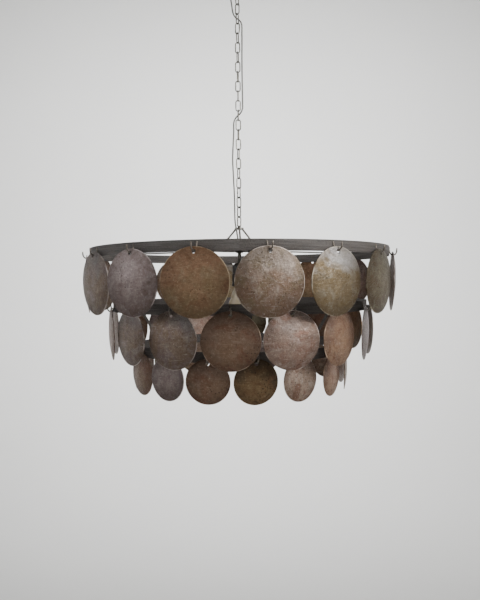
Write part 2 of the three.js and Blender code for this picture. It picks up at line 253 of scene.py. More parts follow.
class Nodes:
    """Shorthand for building one material's nodes."""

    def __init__(self, name):
        self.material = bpy.data.materials.new(name)
        self.material.use_nodes = True
        self.tree = self.material.node_tree
        self.shader = self.tree.nodes["Principled BSDF"]

    def node(self, kind, **values):
        made = self.tree.nodes.new(kind)
        for key, value in values.items():
            setattr(made, key, value)
        return made

    def link(self, a, b):
        self.tree.links.new(a, b)

    def coords(self, layer, stretch=(1, 1, 1), turn=(0, 0, 0)):
        """Places on a layer of the surface, or in the object where no layer is named."""
        if layer:
            source = self.node("ShaderNodeUVMap", uv_map=layer).outputs["UV"]
        else:
            source = self.node("ShaderNodeTexCoord").outputs["Object"]
        mapping = self.node("ShaderNodeMapping")
        mapping.inputs["Scale"].default_value = stretch
        mapping.inputs["Rotation"].default_value = turn
        self.link(source, mapping.inputs["Vector"])
        return mapping.outputs["Vector"]

    def noise(self, vector, scale, detail, rough=0.55, distortion=0.0):
        made = self.node("ShaderNodeTexNoise")
        made.inputs["Scale"].default_value = scale
        made.inputs["Detail"].default_value = detail
        made.inputs["Roughness"].default_value = rough
        made.inputs["Distortion"].default_value = distortion
        self.link(vector, made.inputs["Vector"])
        return made.outputs["Fac"]

    def spread(self, value, low, high, to_low=0.0, to_high=1.0):
        """The value with low to high stretched over to_low to to_high."""
        made = self.node("ShaderNodeMapRange")
        made.inputs["From Min"].default_value = low
        made.inputs["From Max"].default_value = high
        made.inputs["To Min"].default_value = to_low
        made.inputs["To Max"].default_value = to_high
        self.link(value, made.inputs["Value"])
        return made.outputs["Result"]

    def math(self, kind, a, b):
        made = self.node("ShaderNodeMath", operation=kind)
        for socket, value in zip(made.inputs, (a, b)):
            if isinstance(value, (int, float)):
                socket.default_value = value
            else:
                self.link(value, socket)
        return made.outputs[0]

    def mix(self, fac, a, b, kind="MIX"):
        made = self.node("ShaderNodeMix", data_type="RGBA", blend_type=kind)
        for socket, value in ((made.inputs[0], fac), (made.inputs[6], a), (made.inputs[7], b)):
            if isinstance(value, tuple):
                socket.default_value = (*value, 1)
            else:
                self.link(value, socket)
        return made.outputs[2]

    def layer(self, colour, mask, share, tone, kind="MIX"):
        """The tone over the colour where the mask is, at that share of its strength."""
        return self.mix(self.math("MULTIPLY", mask, share), colour, tone, kind)

    def bump(self, height, distance, strength, under=None):
        made = self.node("ShaderNodeBump")
        made.inputs["Distance"].default_value = distance
        made.inputs["Strength"].default_value = strength
        self.link(height, made.inputs["Height"])
        if under is not None:
            self.link(under, made.inputs["Normal"])
        return made.outputs["Normal"]

    def finish(self, colour, rough, metal, normal=None):
        self.link(colour, self.shader.inputs["Base Color"])
        if isinstance(rough, (int, float)):
            self.shader.inputs["Roughness"].default_value = rough
        else:
            self.link(rough, self.shader.inputs["Roughness"])
        self.shader.inputs["Metallic"].default_value = metal
        if normal is not None:
            self.link(normal, self.shader.inputs["Normal"])
        return self.material


def linear(r, g, b):
    """A colour as the eye reads it, 0 to 255, as the shader wants it."""
    return tuple(((c / 255 + 0.055) / 1.055) ** 2.4 if c > 10 else c / 255 / 12.92 for c in (r, g, b))


def disc_iron(name, foot, painted_top_tone, blotch, bloom, streak_turn, lift=0.5, pitted=0.35):
    """Oxidised sheet iron: one tone at the foot and a painted tone at the top, painted light on some families
    and painted shadow on others, soft stains, a pale film, fine grain, brushed lines, pits in patches, faint
    scratches, a painted shade darkening towards the margin and a painted highlight along the rim in places."""
    n = Nodes(name)
    at = n.coords("patina")
    face = n.coords("face")
    split = n.node("ShaderNodeSeparateXYZ")
    n.link(face, split.inputs[0])
    clouds = n.spread(n.noise(at, 1.5, 3, 0.5, 0.7), 0.34, 0.66)
    mottle = n.spread(n.noise(at, 10.0, 6, 0.74, 0.5), 0.4, 0.66)
    bright, pale = (tuple(min(c * gain, 1) for c in bloom) for gain in (1.6, 1.5))

    # Painted light and shade: each disc blends upwards into the painted top tone. On families with a lighter
    # top tone it stands for light from above, on those with a darker one for the shadow of the ring above.
    # lift sets how high it starts.
    painted_top_share = n.spread(n.math("ADD", split.outputs["Y"], n.math("MULTIPLY", clouds, 0.55)), lift, lift + 0.5)
    colour = n.mix(painted_top_share, foot, painted_top_tone)
    blotches = n.spread(n.noise(at, 2.2, 4, 0.55, 1.4), 0.48, 0.66)
    colour = n.layer(colour, blotches, 0.8, blotch)
    film = n.spread(n.noise(n.coords("patina", (1, 1, 1), (0, 0, 2.3)), 2.8, 5, 0.6, 0.9), 0.52, 0.74)
    colour = n.layer(colour, film, 0.62, bloom)
    colour = n.layer(colour, mottle, 0.5, (0.42, 0.40, 0.38), "MULTIPLY")
    flecks = n.spread(n.noise(n.coords("patina", (1, 1, 1), (0, 0, 1.1)), 19.0, 5, 0.78), 0.56, 0.68)
    colour = n.layer(colour, flecks, 0.5, bright)
    grain = n.spread(n.noise(at, 30.0, 5, 0.8), 0.4, 0.64)
    colour = n.layer(colour, grain, 0.4, (0.46, 0.44, 0.42), "MULTIPLY")

    brush_at = n.coords("patina", (3.0, 42.0, 1.0), (0, 0, math.radians(streak_turn * 0.3)))
    brushed = n.spread(n.noise(brush_at, 2.0, 3, 0.6), 0.42, 0.64)
    colour = n.layer(colour, brushed, 0.2, (0.45, 0.44, 0.43), "MULTIPLY")
    spots = n.node("ShaderNodeTexVoronoi", feature="F1")
    spots.inputs["Scale"].default_value = 14.0
    n.link(at, spots.inputs["Vector"])
    patches = n.spread(n.noise(at, 1.9, 2, 0.5), 0.6 - pitted * 0.2, 0.66 - pitted * 0.2)
    pits = n.math("MULTIPLY", n.spread(spots.outputs["Distance"], 0.12, 0.3, 1.0, 0.0), patches)
    colour = n.layer(colour, pits, 0.75, tuple(c * 0.22 for c in foot))
    scratch_at = n.coords("patina", (1.0, 22.0, 1.0), (0, 0, math.radians(streak_turn)))
    scratches = n.spread(n.noise(scratch_at, 2.6, 3, 0.5), 0.64, 0.7)
    colour = n.layer(colour, scratches, 0.3, pale)

    centred = n.node("ShaderNodeVectorMath", operation="DISTANCE")
    n.link(face, centred.inputs[0])
    centred.inputs[1].default_value = (0.5, 0.5, 0.0)
    # Painted shade: each disc is darkened from its middle towards its edge, standing in for the shading of
    # its dished face.
    painted_rim_shade = n.spread(n.math("ADD", centred.outputs["Value"], n.math("MULTIPLY", clouds, 0.08)), 0.22, 0.56)
    colour = n.layer(colour, painted_rim_shade, 0.7, (0.36, 0.33, 0.31), "MULTIPLY")
    # Painted highlight: a thin pale line along parts of the rim stands in for light caught on the cut edge.
    rim = n.spread(centred.outputs["Value"], 0.486, 0.494)
    dust_and_rim_glint = n.math("MULTIPLY", rim, n.spread(n.noise(at, 1.8, 3, 0.6), 0.48, 0.6))
    colour = n.layer(colour, dust_and_rim_glint, 0.5, bright)

    wear = n.math("ADD", n.math("MULTIPLY", mottle, 0.5), n.math("MULTIPLY", clouds, 0.5))
    dents = n.bump(n.noise(at, 2.0, 1, 0.4), 0.005, 0.6)
    grit = n.bump(n.noise(at, 13.0, 6, 0.74), 0.0024, 0.5, dents)
    return n.finish(colour, n.spread(wear, 0, 1, 0.34, 0.52), 0.7, grit)


def bar_iron(name, base, dark, light, layer=None, metal=0.75, low=0.36, high=0.58):
    """Rolled bar or wire: mill scale in long streaks, brown bloom and rubbed spots."""
    n = Nodes(name)
    at = n.coords(layer, (1, 1, 1) if layer else (TEXTURE, TEXTURE, TEXTURE))
    along = n.coords(layer, (0.5, 12, 1) if layer else (4, 4, 40))
    streaks = n.spread(n.noise(along, 2.4, 5, 0.6), 0.28, 0.72)
    bloom = n.spread(n.noise(at, 3.2, 5, 0.65, 0.5), 0.42, 0.68)
    fine = n.spread(n.noise(at, 38.0, 3, 0.6), 0.4, 0.7)
    colour = n.mix(streaks, dark, base)
    brown = tuple(c * k for c, k in zip(base, (0.80, 0.70, 0.62)))
    colour = n.layer(colour, bloom, 0.4, brown)
    colour = n.layer(colour, fine, 0.3, light)
    rough = n.spread(streaks, 0, 1, high, low)
    return n.finish(colour, rough, metal, n.bump(n.noise(at, 26.0, 4, 0.6), 0.0005, 0.4))


def zinc(name, base, dark, light):
    """Dull zinc plating: soft grey clouds, darker where links rub and hold dust."""
    n = Nodes(name)
    at = n.coords(None, (TEXTURE, TEXTURE, TEXTURE))
    clouds = n.spread(n.noise(at, 7.0, 4, 0.6), 0.35, 0.65)
    fine = n.spread(n.noise(at, 70.0, 3, 0.55), 0.42, 0.68)
    colour = n.mix(clouds, dark, base)
    colour = n.layer(colour, fine, 0.4, light)
    rough = n.spread(clouds, 0, 1, 0.46, 0.28)
    return n.finish(colour, rough, 0.85, n.bump(n.noise(at, 60.0, 3, 0.6), 0.0003, 0.4))


def plastic(name, base, dust_and_rim_glint, rough_low, rough_high, bump):
    """Moulded plastic or rubbery cover with dust in its grain."""
    n = Nodes(name)
    at = n.coords(None, (TEXTURE, TEXTURE, TEXTURE))
    dust = n.spread(n.noise(at, 4.0, 5, 0.6), 0.45, 0.75)
    grain = n.noise(at, 90.0, 3, 0.6)
    colour = n.layer(base, dust, 0.5, dust_and_rim_glint)
    rough = n.spread(dust, 0, 1, rough_low, rough_high)
    return n.finish(colour, rough, 0.0, n.bump(grain, bump, 0.5))


def opal_glass(name, base, haze_and_shade_tone):
    """Opal glass under a clear coat, with a faint haze of a darker tone that is partly painted shade."""
    n = Nodes(name)
    haze = n.spread(n.noise(n.coords(None, (TEXTURE, TEXTURE, TEXTURE)), 5.0, 4, 0.6), 0.35, 0.7)
    colour = n.mix(haze, base, haze_and_shade_tone)
    n.shader.inputs["Coat Weight"].default_value = 0.5
    n.shader.inputs["Coat Roughness"].default_value = 0.08
    return n.finish(colour, n.spread(haze, 0, 1, 0.14, 0.26), 0.0)


def brass(name, base, tarnished):
    """Thin brass with dull patches."""
    n = Nodes(name)
    tarnish = n.spread(n.noise(n.coords(None, (TEXTURE, TEXTURE, TEXTURE)), 9.0, 5, 0.6), 0.4, 0.7)
    return n.finish(n.mix(tarnish, base, tarnished), n.spread(tarnish, 0, 1, 0.3, 0.5), 0.9)


def pale_floor(name):
    """A matt pale grey with wide, hardly visible clouds."""
    n = Nodes(name)
    clouds = n.spread(n.noise(n.coords(None), 0.8, 3), 0.3, 0.7)
    return n.finish(n.mix(clouds, (0.80, 0.80, 0.79), (0.82, 0.82, 0.81)), 0.9, 0.0)


band_iron = bar_iron("band_iron", linear(94, 90, 88), linear(60, 56, 55), linear(126, 122, 119),
                     "run", 0.3, 0.6, 0.76)
frame_iron = bar_iron("frame_iron", linear(98, 93, 89), linear(60, 56, 53), linear(132, 127, 122),
                      None, 0.25, 0.66, 0.84)
rod_steel = bar_iron("rod_steel", linear(158, 155, 148), linear(96, 92, 87), linear(206, 203, 196),
                     None, 0.8, 0.28, 0.45)
hook_iron = bar_iron("hook_iron", linear(122, 115, 107), linear(48, 43, 40), linear(196, 188, 178),
                     None, 0.85, 0.28, 0.44)
canopy_iron = bar_iron("canopy_iron", linear(102, 96, 90), linear(62, 57, 53), linear(146, 139, 131))
chain_zinc = zinc("chain_zinc", linear(138, 135, 127), linear(64, 61, 56), linear(190, 187, 178))
hook_zinc = zinc("hook_zinc", linear(150, 147, 139), linear(86, 82, 76), linear(196, 193, 185))
cable_grey = plastic("cable_grey", linear(118, 117, 114), linear(150, 147, 140), 0.42, 0.6, 0.0002)
holder_black = plastic("holder_black", linear(38, 34, 32), linear(74, 68, 62), 0.35, 0.55, 0.0003)
# Painted shade: the bulb's opal is dulled to beige to stand in for the shade it hangs in.
bulb_opal = opal_glass("bulb_opal", linear(206, 192, 166), linear(184, 168, 140))
cap_brass = brass("cap_brass", linear(196, 168, 108), linear(120, 98, 62))

# Each family of discs: the tones of foot, painted top (a painted highlight where it is lighter, as silver's
# near-white top; a painted shadow where it is darker, as umber, copper and cream), blotches and pale film,
# then how its scratches turn, how high the painted top tone starts, and how much of it is pitted.
disc_tones = {
    "ochre": ((134, 112, 85), (160, 126, 100), (126, 94, 70), (164, 148, 122), 20),
    "grey": ((127, 104, 88), (148, 136, 126), (120, 106, 84), (184, 174, 166), -25, 0.65),
    "silver": ((130, 114, 89), (206, 205, 206), (128, 110, 78), (170, 164, 150), 65, 0.92),
    "mauve": ((126, 110, 106), (148, 134, 132), (114, 98, 94), (164, 154, 152), 80),
    "slate": ((128, 110, 95), (138, 132, 131), (128, 112, 110), (170, 160, 156), 35, 0.8),
    "beige": ((142, 120, 98), (156, 134, 120), (124, 94, 76), (178, 166, 152), -60),
    "rosy": ((156, 134, 122), (152, 138, 132), (144, 110, 96), (194, 182, 176), 40, 0.8),
    "olive": ((116, 103, 81), (122, 115, 98), (104, 84, 62), (150, 144, 124), 10, 0.6, 1.0),
    "brown": ((126, 102, 84), (128, 106, 92), (118, 84, 68), (150, 132, 116), -10),
    "umber": ((114, 93, 67), (80, 67, 53), (104, 78, 54), (146, 126, 98), 15, 0.7, 0.6),
    "copper": ((178, 143, 116), (154, 128, 114), (146, 104, 82), (200, 176, 156), 30, 0.6, 0.5),
    "cream": ((172, 150, 134), (150, 130, 118), (130, 94, 78), (206, 194, 182), 55, 0.5, 0.8),
}
disc_families = {}
for family, (foot, painted_top_tone, blotch, bloom, *rest) in disc_tones.items():
    disc_families[family] = disc_iron(f"iron_{family}", linear(*foot), linear(*painted_top_tone), linear(*blotch),
                                      linear(*bloom), *rest)


# Driving sizes, in metres. They are those of the solids in the frame. Only the hooks' turns, roots
# and tips and the discs' holes differ from them. A ring's drop is measured from the upper ring. Its
# first disc and its discs' turns are in degrees.
apex = -0.7102
ring_top = apex - 0.060
hub_top = apex - 0.0615
link_pitch = 0.0261
link_count = 24
tiers = {
    "upper": {"radius": 0.392, "drop": 0.0, "across": 0.150, "dish": 0.008, "first": -13.5,
              "seed": 1.7, "patina": 0,
              "turns": [2, 3, 6, 2, 4, -3, 5, 1, -3, 3, 6, -2, 2, 5, 5, 1]},
    "middle": {"radius": 0.334, "drop": 0.1365, "across": 0.131, "dish": 0.007, "first": -3.4,
               "seed": 4.9, "patina": 31,
               "turns": [0, -3, 8, 8, 3, -4, 6, -2, 5, 1, -4, 4, 7, -3, -4, -5]},
    "lower": {"radius": 0.271, "drop": 0.2475, "across": 0.104, "dish": 0.0055, "first": -15.3,
              "seed": 8.3, "patina": 67,
              "turns": [5, 8, 9, 8, 5, -3, 4, -4, 2, 7, -2, 3, -4, 4, 6, 0]},
}
hooks_per_ring = 16
hook_step = 360 / hooks_per_ring
band_height, band_thick = 0.025, 0.003
link_wire, hook_wire = 0.003, 0.0035

# A hook's seat stands out from its band. Seat, root and tip are measured down from the band's top.
seat_out, seat_down, root_down, tip_down = 0.010, 0.023, 0.006, 0.0065
hook_bend = 0.0098
hook_turns = {
    "upper": [-20, 24, 28, 22, 14, 26, 30, 28, 30, 24, 28, 32, 28, 20, 12, -2],
    "middle": [12, 24, 30, 26, 32, 28, 30, 24, 30, 32, 28, 22, 30, 24, 10, 4],
    "lower": [8, 26, 30, 22, 28, 30, 26, 30, 24, 32, 28, 30, 26, 30, 16, 6],
}

# The gap that the solids keep where pieces rest on each other
touch = 0.0003
arm_azimuths = [3.5 + 120 * i for i in range(3)]


# Chain links

def link_path():
    """The middle of a link's wire in its own plane, across and up, and its swelling at the weld."""
    count, bend, straight = 40, 0.006, 0.0084
    weld_swell, weld_half = 1.14, 0.0022
    length = 2 * math.pi * bend + 4 * straight
    path, welds = [], []
    for i in range(count):
        s = length * i / count
        if s < math.pi * bend:
            a = s / bend
            path.append((bend * math.cos(a), straight + bend * math.sin(a)))
        elif s < math.pi * bend + 2 * straight:
            path.append((-bend, straight - (s - math.pi * bend)))
        elif s < 2 * math.pi * bend + 2 * straight:
            a = (s - 2 * straight) / bend
            path.append((bend * math.cos(a), -straight + bend * math.sin(a)))
        else:
            path.append((bend, -straight + (s - 2 * math.pi * bend - 2 * straight)))
        weld = abs(path[-1][0] - bend) < 1e-6 and abs(path[-1][1]) < weld_half
        welds.append(weld_swell if weld else 1.0)
    return path, welds


def put_link(shape, z, angle, rng):
    path, welds = link_path()
    slack = 2.5
    a = math.radians(angle + rng.uniform(-slack, slack))
    across = Vector((math.cos(a), math.sin(a), 0))
    points = [Vector((0, 0, z)) + across * u + UP * v for u, v in path]
    shape.put(*sweep(points, [link_wire / 2 * w for w in welds], 12, True))


def link_z(i):
    top_link_z, second_link_z = -0.0961, -0.1216
    return top_link_z if i == 0 else second_link_z - (i - 1) * link_pitch


def link_angle(i):
    """Each link is turned a little more than a right angle against the one above."""
    last_angle, turn = 45, 93.6
    return last_angle - (link_count - 1 - i) * turn


rng = random.Random(7)

# Cable, woven twice through the chain, in millimetres. Its two runs overlap at the parting, where the
# top link meets the chain.
route = [
    (-21, 0, -36), (-21, 0, -60), (-19, 1.5, -82), (-15, 5, -108), (-11, 6.5, -131), (-5, 3, -142.5),
    (5, -3, -152.9), (11, -6.5, -164.5), (12, -4, -196), (11.5, -1, -250), (11.5, 0, -310),
    (12, 1, -368), (11.5, 1, -391), (5.5, 0.5, -403.2), (-5.5, -0.5, -414.2), (-11.5, -1, -426.5),
    (-12.5, -1, -455), (-15, -1, -500), (-16, -1, -530), (-14, -2, -580), (-12, -3, -630),
    (-11.5, -4, -680), (-10.5, -10, -700), (-8, -15, -715), (-5.5, -12.5, -732), (-2.5, -5.5, -749),
    (0, 0, -764), (0, 0, -786),
]
cable_points = smooth_route([Vector(p) * MM for p in route])
cable_radius = 0.002
parting, overlap = -0.1105, 0.006


def cable_run(name, run):
    shape = Shape()
    shape.put(*sweep(run, cable_radius, 14))
    return shape.make(name, cable_grey)


cable_top = cable_run("cable_top", [p for p in cable_points if p.z > parting - overlap])
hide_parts("power_cable")
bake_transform(cable_top)
cable_main = cable_run("cable_main", [p for p in cable_points if p.z < parting + overlap])
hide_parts("power_cable")
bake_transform(cable_main)

# Chain
shape = Shape()
put_link(shape, link_z(0), link_angle(0), rng)
top_link = shape.make("top_chain_link", chain_zinc)
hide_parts("top_link")
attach(top_link, "top_link")
shape = Shape()
for i in range(1, link_count):
    put_link(shape, link_z(i), link_angle(i), rng)
chain = shape.make("chain_links", chain_zinc)
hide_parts("chain")
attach(chain, "chain")

# Canopy: a spun cup with a rolled bead at its rim and a flat pad round the hole for the hook
canopy_radius, canopy_height, canopy_wall, canopy_corner = 0.055, 0.058, 0.0016, 0.009
pad_edge, pad_radius, pad_rise, canopy_hole = 0.0125, 0.0120, 0.00025, 0.0045
outer = [(canopy_radius, -touch), (canopy_radius, canopy_corner - canopy_height)]
inner_wall = canopy_radius - canopy_wall
corner_steps = 8
for i in range(1, corner_steps + 1):
    a = math.radians(i / corner_steps * 90)
    outer.append((canopy_radius - canopy_corner + canopy_corner * math.cos(a),
                  canopy_corner - canopy_height - canopy_corner * math.sin(a)))
outline = rounded(outer + [
    (pad_edge, -canopy_height), (pad_radius, -canopy_height - pad_rise),
    (canopy_hole, -canopy_height - pad_rise), (canopy_hole, canopy_wall - canopy_height),
    (canopy_radius - canopy_corner, canopy_wall - canopy_height),
    (inner_wall, canopy_corner - canopy_height), (inner_wall, -0.0012), (inner_wall, -touch),
], 0.0006, 2, True)
shape = Shape()
shape.put(*lathe(outline, 96, True))
rim_bead = rounded([
    (0.0552, -0.0003), (0.0562, -0.0012), (0.0562, -0.0030), (0.0552, -0.0039), (0.0546, -0.0021),
], 0.0008, 3, True)
shape.put(*lathe(rim_bead, 96, True))
canopy = shape.make("canopy_cup", canopy_iron)
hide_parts("canopy")
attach(canopy, "ceiling_fitting")

# Bushing in the canopy's floor, where the cable leaves it
shape = Shape()
bushing = rounded([
    (0.0022, -0.0548), (0.0050, -0.0548), (0.0050, -0.0564), (0.0041, -0.0566), (0.0041, -0.0580),
    (0.0060, -0.0582), (0.0056, -0.0604), (0.0030, -0.0612), (0.0022, -0.0608),
], 0.0004, 2, True)
shape.put(*lathe(bushing, 32, True), place=Matrix.Translation((-0.021, 0, 0)))
bushing = shape.make("cable_bushing", holder_black)
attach(bushing, "ceiling_fitting")

# Ceiling hook, its shank and its collar
shape = Shape()
collar_low, collar_top, collar_radius = -0.0633, -0.0583, 0.011
shank_radius, shank_top = 0.0041, -0.0043
collar = rounded([
    (0, collar_low), (collar_radius, collar_low), (collar_radius, collar_top),
    (shank_radius, collar_top), (shank_radius, shank_top), (0, shank_top),
], 0.0009, 3)
shape.put(*lathe(collar, 40))
bow_low, bow_radius, bow_wire, bow_steps = -0.086, 0.010, 0.0025, 32
bow_start, bow_end = 82, 308
bow = [Vector((0, 0, -0.0625)), Vector((0, 0, -0.0640))]
for i in range(bow_steps + 1):
    a = math.radians(bow_start + i / bow_steps * (bow_end - bow_start))
    bow.append(Vector((bow_radius * math.cos(a), 0, bow_low + bow_radius + bow_radius * math.sin(a))))
turn = Matrix.Rotation(math.radians(link_angle(0) + 90), 4, "Z")
radii = [bow_wire] * (len(bow) - 2) + [0.0022, 0.0014]
shape.put(*sweep([turn @ p for p in bow], radii, 16))
ceiling_hook = shape.make("hook_and_collar", hook_zinc)
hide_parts("ceiling_hook")
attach(ceiling_hook, "ceiling_fitting")

# The bracket stays the frame's own piece, with a finish of its own
bracket_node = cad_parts["ceiling_bracket"]
bracket_node.data.materials.clear()
bracket_node.data.materials.append(frame_iron)

# Eye, crown and hanging rods
shape = Shape()
eye_radius, eye_wire, eye_steps, crown_radius, crown_thick = 0.0042, 0.003, 28, 0.012, 0.005
hub_radius = 0.074
eye_z = apex + link_wire / 2 + touch + eye_wire / 2 - eye_radius
turn = Matrix.Rotation(math.radians(link_angle(link_count - 1) + 90), 4, "Z")
eye = [turn @ Vector((eye_radius * math.cos(a), 0, eye_radius * math.sin(a))) + UP * eye_z
       for a in [2 * math.pi * i / eye_steps for i in range(eye_steps)]]
shape.put(*sweep(eye, eye_wire / 2, 14, True))
crown_top = apex - link_wire / 2 - touch
crown = rounded([
    (0, crown_top - crown_thick), (crown_radius, crown_top - crown_thick), (crown_radius, crown_top),
    (0, crown_top),
], 0.0014, 3)
shape.put(*lathe(crown, 40))
for side in (-1, 1):
    weld_bead(shape, turn @ Vector((side * 0.0046, 0, crown_top)), (0.0022, 0.0022, 0.0010), side + 1.3)
rod_top, rod_radius, rod_end, rod_steps = crown_top - 0.0025, 0.0025, 0.066, 12
for i, azimuth in enumerate(arm_azimuths):
    start = polar(azimuth, crown_radius - rod_radius, rod_top)
    end = polar(azimuth, rod_end, hub_top - 0.001)
    rod = [start.lerp(end, s / rod_steps) for s in range(rod_steps + 1)]
    shape.put(*sweep(rod, rod_radius, 14))
    weld_bead(shape, polar(azimuth, 0.0645, hub_top + 0.0008), (0.0046, 0.0046, 0.0020), i + 2.1)
    weld_bead(shape, polar(azimuth, 0.0122, rod_top - 0.0014), (0.0030, 0.0030, 0.0024), i + 5.7)
rods = shape.make("hanging_rods", rod_steel)
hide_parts("lamp_frame")
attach(rods, "lamp")

# Hub, arms and struts
shape = Shape()
hub_low = hub_top - 0.003
hub_bore = 0.0053
hub = rounded([(hub_bore, hub_low), (hub_radius, hub_low), (hub_radius, hub_top), (hub_bore, hub_top)],
              0.0006, 2, True)
shape.put(*lathe(hub, 96, True))
strut_thick = 0.0015
strut_path = []
for t in tiers.values():
    back = t["radius"] - band_thick - touch - strut_thick
    top = ring_top - t["drop"]
    strut_path += [(back, hub_top if t["drop"] == 0 else top), (back, top - band_height)]


def strut(azimuth):
    """One bent bar behind the three bands, with softly rounded bends and edges."""
    path = rounded(strut_path, 0.005, 5)
    half, thick, bevel = 0.006, strut_thick, 0.0005
    section = [(-half + bevel, -thick), (half - bevel, -thick), (half, -thick + bevel), (half, thick - bevel),
               (half - bevel, thick), (-half + bevel, thick), (-half, thick - bevel), (-half, -thick + bevel)]
    out = polar(azimuth, 1, 0)
    wide = Vector((math.cos(math.radians(azimuth)), math.sin(math.radians(azimuth)), 0))
    verts, faces = [], []
    for i, (r, z) in enumerate(path):
        a, b = path[max(i - 1, 0)], path[min(i + 1, len(path) - 1)]
        run = Vector((b[0] - a[0], b[1] - a[1])).normalized()
        n = Vector((-run.y, run.x))
        for u, v in section:
            verts.append(out * (r + n.x * v) + UP * (z + n.y * v) + wide * u)
    k = len(section)
    for i in range(len(path) - 1):
        for j in range(k):
            m = (j + 1) % k
            faces.append([i * k + j, i * k + m, (i + 1) * k + m, (i + 1) * k + j])
    faces.append(list(range(k))[::-1])
    faces.append([(len(path) - 1) * k + j for j in range(k)])
    return verts, faces


arm_half, arm_inner, arm_outer = 0.008, hub_radius - 0.006, 0.3872
arm_inset = 0.00005
bead_turn = 1.1
for i, azimuth in enumerate(arm_azimuths):
    arm = [(-arm_half, arm_inner), (-arm_half, arm_outer), (arm_half, arm_outer), (arm_half, arm_inner)]
    verts, faces = prism(arm, hub_low + arm_inset, hub_top - arm_inset, 0.0005)
    shape.put(verts, faces, place=Matrix.Rotation(math.radians(azimuth + 180), 4, "Z"))
    shape.put(*strut(azimuth))
    weld_bead(shape, polar(azimuth, hub_radius, hub_top), (0.0024, 0.0060, 0.0012), i + 7.9)
    for t in tiers.values():
        z = ring_top - t["drop"] - band_height / 2
        for side in (-1, 1):
            bead_angle = math.radians(side * bead_turn * tiers["upper"]["radius"] / t["radius"])
            offset = Matrix.Rotation(bead_angle, 4, "Z")
            centre = offset @ polar(azimuth, t["radius"] - band_thick - 0.0012, z)
            weld_bead(shape, centre, (0.0014, 0.0014, 0.0060), i + side + 11.3)
lamp_frame = shape.make("frame_welded", frame_iron)
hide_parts("lamp_frame")
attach(lamp_frame, "lamp")

# Lampholder, with ribs round its lower half
shape = Shape()
holder_top = hub_low - 0.031
holder_low = holder_top - 0.064
holder_radius, rib_count = 0.0195, 24
body = [
    (0.0036, holder_top + 0.0004), (0.008, holder_top), (0.0165, holder_top - 0.005),
    (0.0193, holder_top - 0.010), (0.0193, holder_top - 0.026), (0.0186, holder_top - 0.0268),
    (0.0186, holder_top - 0.0292), (holder_radius, holder_top - 0.030), (holder_radius, holder_low + 0.009),
    (0.0213, holder_low + 0.0075), (0.0215, holder_low), (0.0175, holder_low), (0.0152, holder_low + 0.001),
    (0.0152, holder_low + 0.030), (0.0036, holder_low + 0.030),
]
shape.put(*lathe(rounded(body, 0.0008, 3, True), 64, True))
for k in range(rib_count):
    a = 2 * math.pi * k / rib_count
    rib = [Vector((holder_radius * math.cos(a), holder_radius * math.sin(a), holder_top - down))
           for down in (0.032, 0.038, 0.044, 0.050)]
    shape.put(*sweep(rib, [0.0003, 0.0007, 0.0007, 0.0003], 8))
holder = shape.make("lampholder_shell", holder_black)
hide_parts("lampholder")
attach(holder, "lamp")

# Threaded stem and its two nuts
shape = Shape()
stem_low, stem_top, stem_bore = holder_top - 0.003, hub_top + 0.010, 0.0034
thread_root, thread_crest, thread_pitch = 0.00465, 0.0050, 0.001
thread = [(stem_bore, stem_low)]
z = stem_low
while z < stem_top - thread_pitch:
    thread += [(thread_root, z), (thread_crest, z + thread_pitch / 2)]
    z += thread_pitch
thread += [(0.0044, stem_top), (stem_bore, stem_top)]
shape.put(*lathe(thread, 32, True))
nut_radius, nut_height = 0.0098, 0.005
corners = [math.radians(60 * i) for i in range(6)]
hexagon = [(nut_radius * math.cos(a), nut_radius * math.sin(a)) for a in corners]
for low in (hub_top + touch, hub_low - touch - nut_height):
    shape.put(*prism(hexagon, low, low + nut_height, 0.0007))
stem = shape.make("stem_and_nuts", hook_zinc, 30)
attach(stem, "lamp")

# Bulb: a neck that widens softly into the globe
base_top = holder_low + 0.025
bulb_low = base_top - 0.105
globe_radius, globe_start, globe_sweep, globe_steps = 0.030, 36, 126, 24
globe = bulb_low + globe_radius
neck_radius, neck_down, neck_steps = 0.0142, 0.001, 9
shoulder_radius, shoulder_up = 0.0243, 0.0176
glass = [(0.0128, holder_low + 0.002), (neck_radius, holder_low - neck_down)]
for i in range(1, neck_steps):
    t = i / neck_steps
    ease = t * t * (3 - 2 * t)
    glass.append((neck_radius + (shoulder_radius - neck_radius) * ease + 0.0006 * math.sin(math.pi * t),
                  holder_low - neck_down + (globe + shoulder_up - holder_low + neck_down) * t))
for i in range(globe_steps + 1):
    a = math.radians(globe_start - i / globe_steps * globe_sweep)
    glass.append((max(globe_radius * math.cos(a), 0), globe + globe_radius * math.sin(a)))
shape = Shape()
shape.put(*lathe([(0, holder_low + 0.002)] + glass, 64))
bulb = shape.make("bulb_glass", bulb_opal)
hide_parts("bulb")
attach(bulb, "lamp")

# Screw cap of the bulb
shape = Shape()
screw_crest, screw_root, screw_pitch = 0.0130, 0.0121, 0.0034
screw = [(0, base_top), (0.006, base_top), (0.009, base_top - 0.003)]
z = base_top - 0.004
while z > holder_low + 0.0045:
    screw += [(screw_crest, z), (screw_root, z - screw_pitch / 2)]
    z -= screw_pitch
screw += [(0.0128, holder_low + 0.0022), (0, holder_low + 0.0022)]
shape.put(*lathe(screw[::-1], 40))
screw_cap = shape.make("bulb_cap", cap_brass, 70)
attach(screw_cap, "lamp")


# Rings and their hooks

